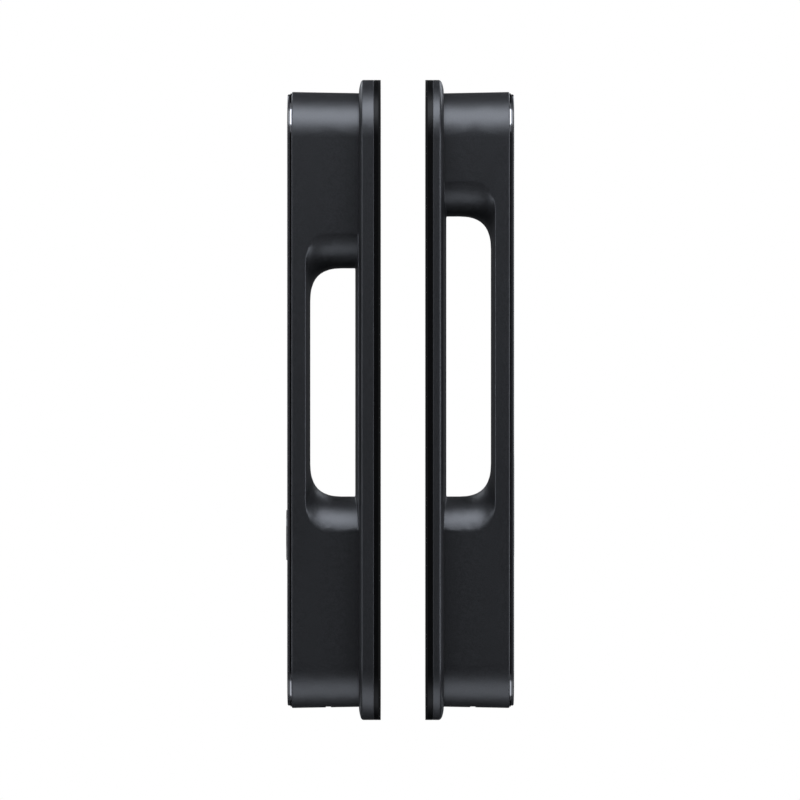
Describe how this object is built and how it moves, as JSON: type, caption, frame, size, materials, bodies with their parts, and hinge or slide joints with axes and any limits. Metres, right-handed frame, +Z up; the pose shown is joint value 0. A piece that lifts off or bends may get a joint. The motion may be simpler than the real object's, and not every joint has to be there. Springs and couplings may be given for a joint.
{
  "type": "keypad smart lock",
  "caption": "Push-pull keypad smart lock for a door: a slim outdoor unit and indoor unit back to back, each with a grip bar, flared finger opening, glass face and flat back plate",
  "frame": {"origin": "centre of the outdoor unit's flat door-side face", "axes": "+Z up along the height, +X from the outdoor unit through the door to the indoor unit, +Y along the width"},
  "size_m": [0.1529, 0.079, 0.43],
  "materials": {
    "body_finish": "fine sandblasted black anodised aluminium casting",
    "plate_finish": "satin black coated steel",
    "rubber": "matte black rubber",
    "black_glass": "gloss black glass with polished edge",
    "gloss_black": "gloss black moulding",
    "matt_black": "fine textured black moulding",
    "steel": "bright machined steel",
    "zinc": "bare zinc and aluminium alloy",
    "bronze": "sintered bronze",
    "circuit": "green solder mask with black components",
    "gold": "gold plated contacts",
    "cell_wrap": "dark grey battery case"
  },
  "bodies": {
    "outdoor_base": {"outer_gasket": "rubber", "outer_mounting_plate": "plate_finish", "outer_base_frame": "body_finish", "outer_frame_screws": "steel", "outer_guide_pins": "steel", "outer_gear_housing": "zinc", "outer_gear_cover": "zinc", "outer_gear_screws": "steel", "outer_return_springs": "steel"},
    "outdoor_handle": {"outer_handle_body": "body_finish", "outer_guide_carriers": "zinc", "outer_guide_bushes": "bronze", "outer_body_screws": "steel", "outer_cam_bracket": "zinc", "outer_face_frame": "gloss_black", "outer_glass_panel": "black_glass", "outer_main_board": "circuit", "outer_speaker": "matt_black", "outer_usb_port": "steel", "outer_fingerprint_sensor": "matt_black", "outer_keypad_board": "circuit", "outer_bell_board": "circuit", "outer_bell_spring": "steel"},
    "outdoor_slider": {"outer_cam_slider": "steel"},
    "outdoor_hub": {"outer_spindle_hub": "steel"},
    "bell": {"outer_bell_button": "gloss_black"},
    "indoor_base": {"inner_gasket": "rubber", "inner_mounting_plate": "plate_finish", "inner_base_frame": "body_finish", "inner_frame_screws": "steel", "inner_guide_pins": "steel", "inner_gear_housing": "zinc", "inner_gear_cover": "zinc", "inner_gear_screws": "steel", "inner_return_springs": "steel"},
    "indoor_handle": {"inner_handle_body": "body_finish", "inner_guide_carriers": "zinc", "inner_guide_bushes": "bronze", "inner_body_screws": "steel", "inner_cam_bracket": "zinc", "inner_face_frame": "gloss_black", "inner_glass_panel": "black_glass", "inner_main_board": "circuit", "inner_speaker": "matt_black", "inner_usb_port": "steel", "inner_battery_tray": "matt_black", "inner_battery_pack": "cell_wrap", "inner_battery_contacts": "gold", "inner_cover_magnets": "steel", "inner_control_insert": "matt_black", "inner_key_board": "circuit", "inner_open_spring": "steel", "inner_lock_spring": "steel"},
    "indoor_slider": {"inner_cam_slider": "steel"},
    "indoor_hub": {"inner_spindle_hub": "steel"},
    "battery_lid": {"inner_battery_cover": "black_glass"},
    "opening_key": {"inner_open_key": "gloss_black"},
    "locking_key": {"inner_lock_key": "gloss_black"}
  },
  "joints": [
    {"name": "outdoor_pull", "type": "slide", "parent": "outdoor_base", "child": "outdoor_handle", "axis": [-1, 0, 0], "range_m": [0, 0.005], "stiffness_N_per_m": 2000, "springref_m": -0.01, "deforming": ["outer_return_springs"]},
    {"name": "outdoor_slide", "type": "slide", "parent": "outdoor_base", "child": "outdoor_slider", "axis": [0, 0, 1], "range_m": [0, 0.0051]},
    {"name": "outdoor_spindle", "type": "hinge", "parent": "outdoor_base", "child": "outdoor_hub", "pos_m": [0, 0, -0.15], "axis": [-1, 0, 0], "range_deg": [0, 32.5]},
    {"name": "bell_press", "type": "slide", "parent": "outdoor_handle", "child": "bell", "axis": [1, 0, 0], "range_m": [0, 0.0006], "stiffness_N_per_m": 800, "springref_m": -0.001, "deforming": ["outer_bell_spring"]},
    {"name": "door_thickness", "type": "slide", "parent": "outdoor_base", "child": "indoor_base", "axis": [1, 0, 0], "range_m": [0, 0.05]},
    {"name": "indoor_push", "type": "slide", "parent": "indoor_base", "child": "indoor_handle", "axis": [-1, 0, 0], "range_m": [0, 0.005], "stiffness_N_per_m": 2000, "springref_m": -0.01, "deforming": ["inner_return_springs"]},
    {"name": "indoor_slide", "type": "slide", "parent": "indoor_base", "child": "indoor_slider", "axis": [0, 0, 1], "range_m": [0, 0.0051]},
    {"name": "indoor_spindle", "type": "hinge", "parent": "indoor_base", "child": "indoor_hub", "pos_m": [0.03, 0, -0.15], "axis": [1, 0, 0], "range_deg": [0, 32.5]},
    {"name": "lid_lift", "type": "slide", "parent": "indoor_handle", "child": "battery_lid", "axis": [1, 0, 0], "range_m": [0, 0.03]},
    {"name": "open_press", "type": "slide", "parent": "indoor_handle", "child": "opening_key", "axis": [-1, 0, 0], "range_m": [0, 0.0006], "stiffness_N_per_m": 800, "springref_m": -0.001, "deforming": ["inner_open_spring"]},
    {"name": "lock_press", "type": "slide", "parent": "indoor_handle", "child": "locking_key", "axis": [-1, 0, 0], "range_m": [0, 0.0006], "stiffness_N_per_m": 800, "springref_m": -0.001, "deforming": ["inner_lock_spring"]}
  ],
  "couplings": [
    {"joint": "outdoor_slide", "follows": "outdoor_pull", "ratio": 1},
    {"joint": "outdoor_spindle", "follows": "outdoor_pull", "rad_per_m": 111.11},
    {"joint": "indoor_slide", "follows": "indoor_push", "ratio": 1},
    {"joint": "indoor_spindle", "follows": "indoor_push", "rad_per_m": 111.11}
  ]
}
